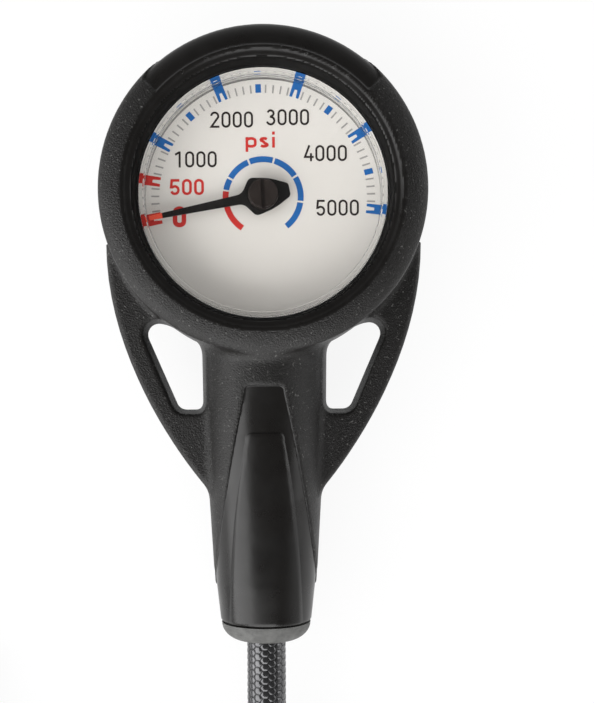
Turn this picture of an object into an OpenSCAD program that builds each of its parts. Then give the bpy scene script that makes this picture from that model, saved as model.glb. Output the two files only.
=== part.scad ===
// Submersible pressure gauge in a rubber boot with two clip loops, on a high-pressure hose.
// It lies on its back: +Z is the way the dial faces and +Y points to the top of the dial.
// The origin is under the middle of the dial, on the boot's flat back. Millimetres.

/* [Boot] */
// Radius of the round part of the boot
rim_r = 34.5; // [34.3:0.1:34.8]
// Height of the rim's crest above the back
rim_h = 31.6; // [31.4:0.1:32]
// Thickness of the boot's floor under the case
floor_t = 3; // [2.6:0.1:3]
// Radius of the neck below the rim
neck_r = 13.4; // [13.2:0.1:13.8]
// Distance from the middle of the dial to the end of the neck
neck_end = 92; // [92:0.1:93]
// Thickness of the clip loops
loop_t = 9; // [7:0.5:11]
// Depth of the smooth panels let into the grained rubber
panel_depth = 0.45; // [0.3:0.05:0.6]

/* [Gauge] */
// Radius of the lens where it shows
lens_r = 26.25; // [26:0.05:26.3]
// Outside radius of the brass case
case_r = 29; // [28.8:0.1:29]
// Length of the pointer from its axis to its tip
pointer_len = 24.8; // [22:0.1:24.9]
// Direction of the pointer at zero pressure, counter-clockwise from +X
zero_angle = 191.2; // [185:0.1:200]
// Height of the dial's face above the back
dial_z = 20.2; // [20.2:0.1:20.4]

/* [Movement] */
// Tooth size, as pitch diameter over tooth count
gear_module = 0.4; // [0.4:0.01:0.41]
// Teeth on the pinion
pinion_teeth = 10; // [10]
// Teeth that the sector would have on a full circle
sector_teeth = 60; // [60]
// Turn of the pointer from zero to full scale
pointer_sweep = 200; // [150:10:200]

/* [Hose] */
// Outside diameter of the braided hose
hose_d = 8.4; // [8:0.1:8.4]
// Radius of the coil's outermost turn, on the hose's centreline
coil_r = 47; // [46:0.5:48]
// Turns in the coil
coil_turns = 2.511; // [2.511]

/* [Hidden] */

rubber = "#3a3836";
smooth_rubber = "#6c6a67";
brass = "#b5924c";
steel = "#b9bcc0";
braid = "#55585b";

axis_z = 15;            // height of the hose's axis where it leaves the gauge
slip = 0.05;            // gap between pieces that are put together by hand
running = 0.03;         // radial clearance of a shaft in its bearing

// ---------- helpers ----------

// Points on an arc, with its centre, radius and end angles
function arc(c, r, a0, a1, n = 8) = [for (i = [0:n]) c + r * unit(a0 + (a1 - a0) * i / n)];
function unit(a) = [cos(a), sin(a)];
function mirror_x(p) = [-p[0], p[1]];
function reversed(list) = [for (i = [len(list) - 1:-1:0]) list[i]];

// A closed outline with each corner rounded to its own radius
function rounded(corners, radii, n = 5) =
    [for (i = [0:len(corners) - 1])
        let (count = len(corners), q = corners[i],
             p = corners[(i + count - 1) % count], s = corners[(i + 1) % count],
             u = (p - q) / norm(p - q), v = (s - q) / norm(s - q),
             half = acos(u * v) / 2, middle = (u + v) / norm(u + v),
             c = q + middle * radii[i] / sin(half),
             a = q + u * radii[i] / tan(half) - c, b = q + v * radii[i] / tan(half) - c,
             a0 = atan2(a[1], a[0]), turn = atan2(a[0] * b[1] - a[1] * b[0], a * b))
        each arc(c, radii[i], a0, a0 + turn, n)];

// A cubic curve from a to d with the handles b and c
function bezier(a, b, c, d, n = 14) = [for (i = [0:n])
    let (t = i / n) pow(1 - t, 3) * a + 3 * t * pow(1 - t, 2) * b
                    + 3 * t * t * (1 - t) * c + pow(t, 3) * d];

// Turns a revolve so that its own +Z runs down the neck, towards -Y
module along_neck() {
    translate([0, 0, axis_z]) rotate([90, 0, 0]) children();
}

module revolve(profile, facets = 96) {
    rotate_extrude($fn = facets) polygon(profile);
}

module disc(r, z0, z1, facets = 32) {
    translate([0, 0, z0]) cylinder(r = r, h = z1 - z0, $fn = facets);
}

module hexagon(across_flats, z0, z1) {
    translate([0, 0, z0])
        rotate([0, 0, 30]) cylinder(d = across_flats / cos(30), h = z1 - z0, $fn = 6);
}

// Closed ring of circular section, such as an O-ring
module ring(major, minor) {
    rotate_extrude($fn = 48) translate([major, 0]) circle(r = minor, $fn = 20);
}

// Tube along a path: one polyhedron with a ring of corners at each point
function along(path, i) =
    let (a = path[max(i - 1, 0)], b = path[min(i + 1, len(path) - 1)]) (b - a) / norm(b - a);
module sweep(path, r, sides) {
    corners = [for (i = [0:len(path) - 1])
        let (t = along(path, i), side = cross(t, [0, 0, 1]) / norm(cross(t, [0, 0, 1])),
             up = cross(side, t))
        each [for (k = [0:sides - 1]) path[i] + r * (sin(360 * k / sides) * side
                                                    - cos(360 * k / sides) * up)]];
    walls = [for (i = [0:len(path) - 2], k = [0:sides - 1])
        let (a = i * sides + k, b = i * sides + (k + 1) % sides)
        each [[a, b, b + sides], [a, b + sides, a + sides]]];
    last = (len(path) - 1) * sides;
    ends = [for (k = [1:sides - 2]) each [[0, k + 1, k], [last, last + k, last + k + 1]]];
    polyhedron(corners, concat(walls, ends), convexity = 10);
}

// ---------- boot ----------

lip_z = 26.1;                      // underside of the lip that holds the case in
rim_up = 0.5;                      // the rim's outside is centred above the dial's middle
ridge_r = 29.3;                    // sharp ridge between the dish and the rim's face
patch_depth = 0.3;                 // recess of the smooth patch

// The rim's domed face, moved in by d: from the top of its wall to the point end
function rim_face(d, end) = bezier([rim_r - d, 28.6], [rim_r - d, 29.9 - 0.4 * d],
                                   [rim_r - 2.3 - 0.6 * d, rim_h - 0.5 - d], end, 8);
rim_profile = concat([[0, 0], [rim_r - 3.6, 0]],
                     arc([rim_r - 3.6, 3.6], 3.6, -80, 0, 6), rim_face(0, [28.4, rim_h]),
                     [[0, rim_h]]);
// Dish round the lens: a steep wall, then a narrow ledge that rises to the ridge
dish_profile = [[0, lip_z - 2], [lens_r + 0.3, lip_z - 2], [lens_r + 0.3, 27.2],
                [26.75, 27.45], [27.15, 30.45], [27.5, 30.8], [28.4, 31], [ridge_r, rim_h - 0.2],
                [ridge_r + 0.02, rim_h + 2], [0, rim_h + 2]];

// The neck's outside as [radius, distance from the dial's centre]
panel_end = 84.3;                  // where the grained skin stops short of the neck's end
flare = concat([[0, 31.5], [15.8, 31.5]], arc([neck_r + 5.2, 39.6], 5.3, 238, 180, 6));
neck_skin = concat(flare, [[13.1, 46], [12.33, 65], [11.2, 83.6], [11.0, panel_end],
                           [0, panel_end]]);
function inward(profile, d) = [for (p = profile) [max(p[0] - d, 0), p[1]]];
neck_core = concat(inward(flare, panel_depth),
                   [[13.1 - panel_depth, 46], [12.33 - panel_depth, 65],
                    [11.2 - panel_depth, 83.6], [10.0, neck_end - 0.5],
                    [9.6, neck_end], [0, neck_end]]);
bore_profile = [[0, 28], [9.7, 28], [9.7, 51], [7.3, 53.5], [7.3, 76], [4.75, 78.5],
                [4.75, 86], [7.05, 86], [7.05, neck_end + 1], [0, neck_end + 1]];

// Outlines let into the neck's front, seen from above
tongue_side = bezier([4.1, -42], [6.6, -53], [9, -66], [11.4, -panel_end - 0.4]);
inlay_side = bezier([3.95, -52.4], [5.6, -61], [7.6, -74], [7.9, -neck_end - 1]);
function tongue(side, top_y, top_x) = let (right = concat([[top_x, top_y]], side))
    concat(right, reversed([for (p = right) mirror_x(p)]));

loop_edge = bezier([rim_r - 0.05, -9.5], [rim_r - 0.05, -34.5], [18.35, -56.5], [11, -64.8]);
loop_hole = rounded([[13.2, -26.8], [26.8, -26.8], [18.6, -45.7], [13.2, -45.7]],
                    [0.4, 2.4, 2.2, 1.8]);
recess_from = 42.5;                // the smooth patch over the rim's top, in degrees
recess_to = 137.5;

module clip_loops() {
    difference() {
        translate([0, 0, axis_z - loop_t / 2]) linear_extrude(loop_t)
            polygon(concat([[0, -9.5]], loop_edge, reversed([for (p = loop_edge) mirror_x(p)])));
        disc(31, 0, 40, 96);
    }
}

module loop_holes() {
    difference() {
        for (side = [0, 1]) mirror([side, 0, 0]) {
            translate([0, 0, axis_z - 15]) linear_extrude(30) polygon(loop_hole);
            // the hole opens out above and below its parting line
            for (face = [0, 1])
                translate([0, 0, face ? axis_z + 1.2 : axis_z - 1.2 - 9]) linear_extrude(9)
                    polygon(rounded([[12.2, -25.8], [28.2, -25.8], [19.5, -46.8],
                                     [12.2, -46.8]], [0.4, 3.2, 3, 1.6]));
        }
        translate([0, rim_up, 0]) disc(rim_r, 0, 40, 96);
        along_neck() revolve([[0, 20], [13.0, 20], [12.9, 60], [0, 60]]);
    }
}

module neck() {
    along_neck() revolve(neck_core);
    difference() {
        along_neck() revolve(neck_skin);
        translate([0, 0, axis_z]) linear_extrude(30) polygon(tongue(tongue_side, -40.7, 2.9));
    }
    intersection() {               // the raised inlay on the tongue
        along_neck() revolve([for (p = neck_core) [p[0] > 0 ? p[0] + 0.25 : 0, p[1]]]);
        translate([0, 0, axis_z]) linear_extrude(30) polygon(tongue(inlay_side, -50.7, 2.9));
    }
}

module boot() {
    color(rubber) difference() {
        union() {
            translate([0, rim_up, 0]) revolve(rim_profile, 120);
            neck();
            clip_loops();
        }
        disc(case_r + slip, floor_t, lip_z, 96);
        revolve(dish_profile, 120);
        along_neck() revolve(bore_profile);
        loop_holes();
        translate([0, 13, 0]) disc(7, -1, floor_t + 1);
        disc(60, -5, 0);
        translate([0, rim_up, 0]) rotate([0, 0, recess_from])
            rotate_extrude(angle = recess_to - recess_from, $fn = 96)
                polygon(concat([[rim_r + 1, 12], [rim_r - patch_depth, 12]],
                               rim_face(patch_depth, [29.75, rim_h - 0.12 - patch_depth]),
                               [[29.75, 33], [rim_r + 1, 33]]));
    }
}

collar_gap = 0.35;
module end_collar() {
    color(smooth_rubber) along_neck() revolve(concat(
        [[4.55, 86.4], [7, 86.4], [7, neck_end + collar_gap], [9.75, neck_end + collar_gap]],
        [for (i = [1:9]) [4.9 + 4.85 * cos(i * 9.5), neck_end + collar_gap + 3.95 * sin(i * 9.5)]],
        [[4.55, neck_end + collar_gap + 3.95]]));
}

// ---------- gauge head ----------

case_top = 26;
case_floor = floor_t + 1.6;
bore_r = 26.2;                     // inside the case, below the ledge that the dial sits on
seat_r = 27.4;                     // inside the case, above that ledge
dial_t = 0.6;
plug_at = [0, 13, 0];

module gauge_case() {
    color(steel) difference() {
        revolve([[0, floor_t], [case_r - 0.8, floor_t], [case_r, floor_t + 0.8],
                 [case_r, case_top - 0.4], [case_r - 0.4, case_top], [seat_r, case_top],
                 [seat_r, dial_z - dial_t], [bore_r, dial_z - dial_t],
                 [bore_r, case_floor], [0, case_floor]], 120);
        along_neck() {
            disc(6.05, seat_r + 0.05, 31);
            disc(4.45, 24, 31);
        }
        translate(plug_at) disc(4, floor_t - 1, case_floor + 1);
    }
}

module blowout_plug() {
    color("#2b2b2b") translate(plug_at) {
        disc(4 - slip, floor_t + 0.2, case_floor);
        disc(5, case_floor, case_floor + 0.8);
    }
}

lens_top = 27.2;
skirt_r = lens_r - 1;
module lens() {
    color([0.8, 0.9, 0.95, 0.35]) revolve([
        [0, lens_top - 2.2], [skirt_r, lens_top - 2.2], [skirt_r, dial_z + slip],
        [seat_r - 0.1, dial_z + slip], [seat_r - 0.1, dial_z + 1.2],
        [lens_r, dial_z + 1.2], [lens_r, lens_top - 0.5], [lens_r - 0.5, lens_top],
        [0, lens_top]], 120);
}

module lens_gasket() {
    color("#1c1c1c") translate([0, 0, dial_z + 1.8]) ring((lens_r + seat_r) / 2, 0.5);
}

module retaining_ring() {
    color(steel) difference() {
        disc(seat_r, dial_z + 2.4, case_top - 0.1, 96);
        disc(lens_r + 0.1, dial_z + 2, case_top + 1, 96);
        for (a = [0, 180]) rotate([0, 0, a])          // slots for the spanner
            translate([lens_r - 1, -1.5, case_top - 1]) cube([4, 3, 2]);
    }
}

module dial() {
    color("#ece8e1") difference() {
        disc(seat_r - 0.1, dial_z - dial_t, dial_z, 96);
        disc(1.6, dial_z - 1, dial_z + 1);
    }
}

// ---------- movement ----------

pinion_r = gear_module * pinion_teeth / 2;
sector_r = gear_module * sector_teeth / 2;
mesh_angle = -34.8;                // from the pinion to the sector's pivot
pivot = (pinion_r + sector_r) * unit(mesh_angle);
plate_z = 7.6;                     // underside of the lower plate
plate_t = 1;
upper_z = 14.6;                    // underside of the upper plate
gear_z = 10.6;                     // underside of the sector
gear_t = 0.8;
arbor_r = 0.55;
tube_r = 21.5;                     // middle line of the Bourdon tube
tube_half = [0.85, 3.4];           // half its thickness and half its height
tube_z = 13.8;
tube_from = 15;                    // its free end, in degrees
tube_to = 257;                     // its end in the socket block
tail_len = 5;
tail_angle = -36.7;                // direction of the sector's tail at rest
link_len = 14;
link_angle = 70.1;                 // direction of the link at rest
tail_pin = pivot + tail_len * unit(tail_angle);
tip_at = tail_pin + link_len * unit(link_angle);
plate_outline = [[8, -12.5], [15.2, -12], [16, 5.5], [3, 10], [-11, 8.5], [-9.5, -12.5]];
pillars_at = [[-6.5, -9.6], [-8, 6], [13.2, 3.2]];
foot_screws_at = [[-3.5, -15], [3.5, -15]];

// Involute teeth: half the angle that a tooth spans at radius r
function inv(a) = tan(a) * 180 / PI - a;
function tooth_half(r, pitch_r, thickness) =
    let (base = pitch_r * cos(20))
    thickness / 2 / pitch_r * 180 / PI + inv(20) - inv(acos(min(base / r, 1)));
// One tooth about angle a, from the root up one flank and down the other
function tooth(a, pitch_r, root, tip, thickness) =
    let (base = max(pitch_r * cos(20), root), n = 4,
         radii = [for (i = [0:n]) base + (tip - base) * i / n],
         halves = [for (r = radii) tooth_half(r, pitch_r, thickness)])
    concat([root * unit(a - halves[0])],
           [for (i = [0:n]) radii[i] * unit(a - halves[i])],
           [for (i = [n:-1:0]) radii[i] * unit(a + halves[i])],
           [root * unit(a + halves[0])]);

tooth_t = 0.56;                    // tooth thickness on the pitch circle, with backlash
sector_pitch = 360 / sector_teeth;
// the sector's middle tooth gap faces the pinion's tooth in mesh
sector_swing = pointer_sweep * pinion_teeth / sector_teeth;
mesh_from_pivot = mesh_angle + 180;
teeth_ahead = 1;                   // teeth past the mesh at rest
teeth_behind = ceil(sector_swing / sector_pitch) + 1;

module sector_gear() {
    teeth = [for (i = [-teeth_behind:teeth_ahead])
        each tooth(mesh_from_pivot + (i + 0.5) * sector_pitch, sector_r, sector_r - 0.55,
                   sector_r + 0.24, tooth_t)];
    low = mesh_from_pivot - (teeth_behind + 0.2) * sector_pitch;
    high = mesh_from_pivot + (teeth_ahead + 1.2) * sector_pitch;
    tail = pivot + (tail_len + 0.1) * unit(tail_angle);
    across = 0.95 * unit(tail_angle + 90);
    color(brass) difference() {
        union() {
            translate([pivot[0], pivot[1], gear_z]) linear_extrude(gear_t)
                polygon(concat([[0, 0], 11 * unit(low)], teeth, [11 * unit(high)]));
            translate([pivot[0], pivot[1], 0]) disc(2.2, gear_z, gear_z + gear_t);
            translate([0, 0, gear_z]) linear_extrude(gear_t)
                polygon([pivot - across, tail - across, tail + across, pivot + across]);
            translate([tail_pin[0], tail_pin[1], 0]) disc(1.1, gear_z, gear_z + gear_t);
        }
        translate([pivot[0], pivot[1], 0]) disc(1.1, gear_z - 1, gear_z + 2);
        translate([tail_pin[0], tail_pin[1], 0]) disc(0.42, gear_z - 1, gear_z + 2);
        // window that lightens the sector
        translate([pivot[0], pivot[1], gear_z - 1]) rotate([0, 0, low + 6])
            rotate_extrude(angle = high - low - 12, $fn = 96)
                translate([3.4, 0]) square([6, 3]);
    }
}

module sector_arbor() {
    color(steel) translate([pivot[0], pivot[1], 0]) {
        disc(0.6, plate_z + 0.1, upper_z + plate_t - 0.1);
        disc(1.1, plate_z + plate_t + slip, upper_z - slip);
    }
}

module tail_rivet() {
    color(steel) translate([tail_pin[0], tail_pin[1], 0]) {
        disc(0.42, gear_z, gear_z + 1.9);
        disc(0.85, gear_z + 1.55, gear_z + 1.95);
    }
}

module pinion() {
    color(brass) {
        translate([0, 0, 9.6]) linear_extrude(3)
            polygon([for (i = [0:pinion_teeth - 1])
                each tooth(mesh_angle + i * 360 / pinion_teeth, pinion_r, pinion_r - 0.36,
                           pinion_r + 0.42, tooth_t)]);
        disc(1.05, plate_z + plate_t + slip, upper_z - slip);
        disc(arbor_r, plate_z + 0.1, 23.9);
    }
}

link_z = gear_z + gear_t + 0.08;
module tip_link() {
    color(steel) difference() {
        union() {
            for (p = [tail_pin, tip_at]) translate([p[0], p[1], 0]) disc(1.1, link_z, link_z + 0.6);
            translate([tail_pin[0], tail_pin[1], link_z]) rotate([0, 0, link_angle])
                translate([0, -0.7, 0]) cube([link_len, 1.4, 0.6]);
        }
        translate([tail_pin[0], tail_pin[1], 0]) disc(0.42 + running, link_z - 1, link_z + 2);
        translate([tip_at[0], tip_at[1], 0]) disc(0.65, link_z - 1, link_z + 2);
    }
}

// Flattened tube section
function stadium(half) = let (r = half[0], straight = half[1] - r)
    concat(arc([tube_r, tube_z + straight], r, 0, 180, 8),
           arc([tube_r, tube_z - straight], r, 180, 360, 8));

module bourdon_tube() {
    color(brass) rotate([0, 0, tube_from])
        rotate_extrude(angle = tube_to - tube_from, $fn = 96)
            difference() {
                polygon(stadium(tube_half));
                polygon(stadium(tube_half - [0.3, 0.3]));
            }
}

module tube_tip() {
    color(brass) difference() {
        union() {
            rotate([0, 0, tube_from - 4.5]) rotate_extrude(angle = 4.4, $fn = 96)
                translate([tube_r - 1.2, tube_z - 3.8]) square([2.4, 7.6]);
            translate([tip_at[0], tip_at[1], 0]) disc(1.05, gear_z, gear_z + gear_t);
            translate([0, 0, gear_z]) linear_extrude(gear_t)
                polygon([tip_at + [-0.95, 0.1], tip_at + [0.95, -0.2], tip_at + [1.8, 1.5],
                         tip_at + [0.1, 1.6]]);
        }
        translate([tip_at[0], tip_at[1], 0]) disc(0.42, gear_z - 1, gear_z + 2);
    }
}

module tip_pin() {
    color(steel) translate([tip_at[0], tip_at[1], 0]) {
        disc(0.42, gear_z, gear_z + 1.9);
        disc(0.9, gear_z + 1.55, gear_z + 1.95);
    }
}

// Flat spiral hairspring: unbroken, with its outer end in the stud
spring_wire = 0.36;
spring_from = 1.35;
spring_step = 0.8;
spring_turns = 4;
spring_z = 13.6;
function spring_point(turn) = let (r = spring_from + spring_step * turn)
    [r * cos(360 * turn), r * sin(360 * turn), spring_z];
spring_path = [for (i = [0:24 * spring_turns]) spring_point(i / 24)];
spring_end = spring_path[len(spring_path) - 1];

module hairspring() {
    color(steel) sweep(spring_path, spring_wire / 2, 6);
}

module hairspring_stud() {
    color(brass) translate([spring_end[0] - 0.5, spring_end[1] + 0.1, 0])
        translate([0, 0, upper_z - 1.6]) cube([1.1, 1, 1.6]);
}

module plate_holes() {
    translate([pivot[0], pivot[1], 0]) disc(0.6 + running, 0, 30);
    disc(arbor_r + running, 0, 30);
    for (p = pillars_at) translate([p[0], p[1], 0]) disc(0.6, 0, 30);
}

module lower_plate() {
    color(brass) difference() {
        translate([0, 0, plate_z]) linear_extrude(plate_t)
            polygon(rounded(concat([[-5.5, -17.3], [5.5, -17.3]], plate_outline),
                            [0.8, 0.8, 1, 1.5, 1.5, 1.5, 1.5, 1]));
        plate_holes();
        for (p = foot_screws_at) translate([p[0], p[1], 0]) disc(0.8, 0, 30);
    }
}

module upper_plate() {
    color(brass) difference() {
        translate([0, 0, upper_z]) linear_extrude(plate_t)
            polygon(rounded(plate_outline, [1.5, 1.5, 1.5, 1.5, 1.5, 1.5]));
        plate_holes();
    }
}

module plate_pillars() {
    color(steel) for (p = pillars_at) translate([p[0], p[1], 0]) {
        difference() {
            union() {
                disc(1.15, plate_z + plate_t, upper_z);
                disc(0.6, plate_z, plate_z + plate_t);
            }
            disc(0.5, upper_z - 3, upper_z + 1);
        }
    }
}

// A cheese-head screw with a slot, its head's underside at z
module screw(z, shank_r, shank, head_r, head) {
    difference() {
        union() {
            disc(shank_r, z - shank, z);
            disc(head_r, z, z + head);
        }
        translate([-head_r - 1, -0.2, z + head / 2]) cube([2 * head_r + 2, 0.4, head]);
    }
}

module plate_screws() {
    color(steel) for (p = pillars_at) translate([p[0], p[1], 0])
        screw(upper_z + plate_t, 0.5, 3.4, 1.2, 0.9);
}

module movement_screws() {
    color(steel) for (p = foot_screws_at) translate([p[0], p[1], 0])
        screw(plate_z + plate_t, 0.75, 2.2, 1.5, 1.1);
}

module socket_block() {
    color(brass) difference() {
        union() {
            translate([-6.5, -25.2, 6]) cube([13, 7.7, 13.2]);
            translate([-5.5, -18, 6]) cube([11, 5.4, plate_z - 6]);
            along_neck() {
                disc(4.4, 24.5, 30);
                disc(6, seat_r + 0.1, 30);
                intersection() {   // spanner flats outside the case
                    disc(8.6, case_r + slip, 33);
                    translate([-7, -7, 25]) cube([14, 14, 10]);
                }
                disc(5.55, 32, 42.5);
            }
        }
        along_neck() {
            disc(2.5, 36.3, 43);
            disc(0.75, 19.5, 37);
        }
        for (p = foot_screws_at) translate([p[0], p[1], 0]) disc(0.75, 6.3, plate_z + 1);
        rotate([0, 0, 246]) rotate_extrude(angle = tube_to - 246, $fn = 96)
            polygon(stadium(tube_half));
    }
}

// ---------- pointer ----------

needle_z = 22.3;
needle_t = 0.4;
// Half of the pointer's outline from its blunt tail: the hub bulges, then runs into the needle
hub_corners = [[-5.75, 1.35], [-2, 3.25], [2.3, 4.15], [4.45, 1.05], [pointer_len, 0.46]];
hub_radii = [0.9, 12, 1.3, 2.2, 0.15];

module pointer() {
    color("#171513") rotate([0, 0, zero_angle]) difference() {
        union() {
            translate([0, 0, needle_z]) linear_extrude(needle_t)
                polygon(rounded(concat(reversed([for (p = hub_corners) [p[0], -p[1]]]),
                                       hub_corners),
                                concat(reversed(hub_radii), hub_radii)));
            disc(1.3, dial_z + 0.7, needle_z + needle_t);
        }
        disc(arbor_r, 19, 25);
    }
}

cap_r = 3.2;
cap_top = 24.7;
module pointer_cap() {
    color("#3b2f2c") difference() {
        revolve([[0, needle_z + needle_t], [cap_r, needle_z + needle_t], [cap_r, cap_top - 0.3],
                 [cap_r - 0.3, cap_top], [0, cap_top]], 48);
        disc(arbor_r, 22, 24);
        rotate([0, 0, 2]) translate([-0.45, -5, cap_top - 0.7]) cube([0.9, 10, 2]);
    }
}

// ---------- swivel and hose end inside the neck ----------

module swivel_nut() {
    color(steel) along_neck() difference() {
        hexagon(16, 34, 48.2);
        disc(5.6, 33, 45.6);
        disc(4.3, 45, 49);
        for (end = [0, 1])         // turned chamfers on the hexagon's corners
            translate([0, 0, end ? 48.2 : 34]) mirror([0, 0, end]) difference() {
                disc(12, -1, 0.9);
                translate([0, 0, -1]) cylinder(r1 = 7.2, r2 = 9.4, h = 1.9, $fn = 48);
            }
    }
}

module swivel_spool() {
    color(steel) along_neck() difference() {
        disc(2.5 - running, 37, 48);
        disc(0.6, 36, 49);
        for (y = [39.5, 45.8]) difference() {
            disc(3, y - 0.45, y + 0.45);
            disc(1.72, y - 1, y + 1);
        }
    }
}

module spool_orings() {
    color("#1c1c1c") along_neck() for (y = [39.5, 45.8]) translate([0, 0, y]) ring(2.1, 0.37);
}

ferrule_r = 6.6;
module hose_insert() {
    color(steel) along_neck() difference() {
        union() {
            disc(5.3, 43, 45.45);
            disc(4.15, 45, 50);
            disc(6, 49.5, 51);
            disc(2.2, 50, 68);
        }
        disc(2.5, 42, 48.5);
        disc(1.2, 42, 69);
    }
}

// Crimped sleeve over a hose's end, from z = 0 to 21, with three pressed grooves
module crimp_sleeve() {
    revolve(concat([[2.25, 0], [ferrule_r - 0.6, 0], [ferrule_r, 0.6]],
                   [for (z = [5, 10, 15]) each [[ferrule_r, z - 1.4], [ferrule_r - 0.5, z - 0.9],
                                                [ferrule_r - 0.5, z + 0.9], [ferrule_r, z + 1.4]]],
                   [[ferrule_r, 20.2], [ferrule_r - 0.8, 21], [hose_d / 2, 21],
                    [hose_d / 2, 1], [2.25, 1]]), 48);
}

module gauge_ferrule() {
    color(steel) along_neck() translate([0, 0, 51.05]) crimp_sleeve();
}

exit_y = neck_end + 4.4;           // where the hose comes free of the collar
module hose_tail() {
    color(braid) along_neck() difference() {
        disc(hose_d / 2, 52.05, exit_y, 40);
        disc(2.25, 52, exit_y + 1);
    }
}

// ---------- free hose ----------

// From the collar: straight out, down to the table and round into the coil
hose_route = [[0, -96.4, 15], [0, -103.8, 15], [0, -111.4, 14.8], [0.4, -119, 13.9],
              [2, -126.2, 12.3], [4.8, -133.2, 10.3], [8.6, -139.8, 8.3], [13.4, -145.6, 6.5],
              [18.2, -151.2, 5.4], [22.1, -157.6, 4.9], [24.6, -164.8, 4.9],
              [25.9, -172.1, 4.9]];

coil_at = [-20.5, -179.5];         // centre of the coil
coil_start = 9;                    // direction of its first point, in degrees
coil_in = 9;                       // how far a turn spirals in, and then out again
lay_z = hose_d / 2 + 0.7;          // the lower layer lies on the tie
layer = 8.9;                       // height of the upper layer above the lower
climb = 0.5;                       // the climb between them takes this much of a turn
drop_len = 34;                     // the straight length in which the end comes down
end_straight = drop_len + hose_d;  // straight hose before the end fitting
end_z = 8;                         // the end fitting lies on a flat of its hexagon

function ease(t) = (1 - cos(180 * min(max(t, 0), 1))) / 2;
function coil_height(turn) = lay_z + layer * ease((turn - coil_turns / 2) / climb + 0.5);
function coil_point(turn) =
    let (r = coil_r - coil_in * min(turn, coil_turns - turn), a = coil_start - 360 * turn)
    [coil_at[0] + r * cos(a), coil_at[1] + r * sin(a), coil_height(turn)];
coil_steps = 60;
end_heading = coil_start - 360 * coil_turns - 90;
end_dir = [cos(end_heading), sin(end_heading), 0];
coil_end = coil_point(coil_turns);
hose_end = [coil_end[0], coil_end[1], 0] + end_straight * end_dir + [0, 0, end_z];
coil_path = concat([for (i = [0:coil_steps]) coil_point(i * coil_turns / coil_steps)],
                   [for (t = [0.2:0.2:1]) coil_end + t * drop_len * end_dir
                    + [0, 0, (end_z - coil_end[2]) * ease(t)]],
                   [hose_end]);

// Least gap between the coil's own turns, taken on points half a turn or more apart
apart = floor(coil_steps / coil_turns / 2);
coil_gap = min([for (i = [0:len(coil_path) - 1 - apart], j = [i + apart:len(coil_path) - 1])
    norm(coil_path[i] - coil_path[j])]) - hose_d;
spring_gap = min([for (i = [0:len(spring_path) - 13], j = [i + 12:len(spring_path) - 1])
    norm(spring_path[i] - spring_path[j])]) - spring_wire;
echo(coil_gap = coil_gap, spring_gap = spring_gap);
echo(hose_end = hose_end, end_heading = end_heading, pivot = pivot, tail_pin = tail_pin,
     tip_at = tip_at);

module hose_run() {
    color(braid) sweep(hose_route, hose_d / 2, 10);
}

module hose_coil() {
    color(braid) sweep(coil_path, hose_d / 2, 6);
}

tie_angle = -60;
tie_w = 12;
module coil_tie() {
    outer = rounded([[29.8, 0], [51.6, 0], [51.6, 19.2], [37, 19.2], [29.8, 12]],
                    [3, 3, 3, 5, 3]);
    inner = rounded([[30.4, 0.6], [51, 0.6], [51, 18.6], [37.2, 18.6], [30.4, 11.8]],
                    [2.4, 2.4, 2.4, 4.4, 2.4]);
    color("#1a1a1c") translate([coil_at[0], coil_at[1], 0]) rotate([0, 0, tie_angle])
        translate([0, tie_w / 2, 0]) rotate([90, 0, 0]) linear_extrude(tie_w)
            difference() {
                polygon(outer);
                polygon(inner);
            }
}

// Puts a revolve at the hose's end, its +Z along the hose
module at_hose_end() {
    translate(hose_end) rotate([0, 0, end_heading]) rotate([0, 90, 0]) children();
}

module end_ferrule() {
    color(steel) at_hose_end() translate([0, 0, 20]) mirror([0, 0, 1])
        revolve(concat([[2.25, -1], [ferrule_r - 0.6, -1], [ferrule_r, -0.4]],
                       [for (z = [4, 9, 14]) each [[ferrule_r, z - 1.4],
                            [ferrule_r - 0.5, z - 0.9], [ferrule_r - 0.5, z + 0.9],
                            [ferrule_r, z + 1.4]]],
                       [[ferrule_r, 19.2], [ferrule_r - 0.8, 20], [0, 20], [0, 0], [2.25, 0]]),
                48);
}

thread_r = 5.556;                  // 7/16 inch UNF
module stage_fitting() {
    color(steel) at_hose_end() difference() {
        union() {
            disc(5.4, 21, 23.2);
            hexagon(16, 23, 30);
            disc(4.3, 29.8, 32);
            translate([0, 0, 31.6]) cylinder(r = thread_r, h = 9, $fn = 48);
            translate([0, 0, 40.6]) cylinder(r1 = thread_r, r2 = thread_r - 0.7, h = 0.7, $fn = 48);
        }
        disc(1.6, 26, 42);
    }
}

module fitting_oring() {
    color("#1c1c1c") at_hose_end() translate([0, 0, 30.8]) ring(5.1, 0.78);
}

boot();
end_collar();
gauge_case();
blowout_plug();
lens();
lens_gasket();
retaining_ring();
dial();
socket_block();
bourdon_tube();
tube_tip();
tip_pin();
tip_link();
sector_gear();
sector_arbor();
tail_rivet();
pinion();
hairspring();
hairspring_stud();
lower_plate();
upper_plate();
plate_pillars();
plate_screws();
movement_screws();
pointer();
pointer_cap();
swivel_spool();
spool_orings();
swivel_nut();
hose_insert();
gauge_ferrule();
hose_tail();
hose_run();
hose_coil();
coil_tie();
end_ferrule();
stage_fitting();
fitting_oring();
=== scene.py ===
"""Looks of a submersible pressure gauge in its rubber boot, on a coiled braided hose."""

import math

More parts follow.
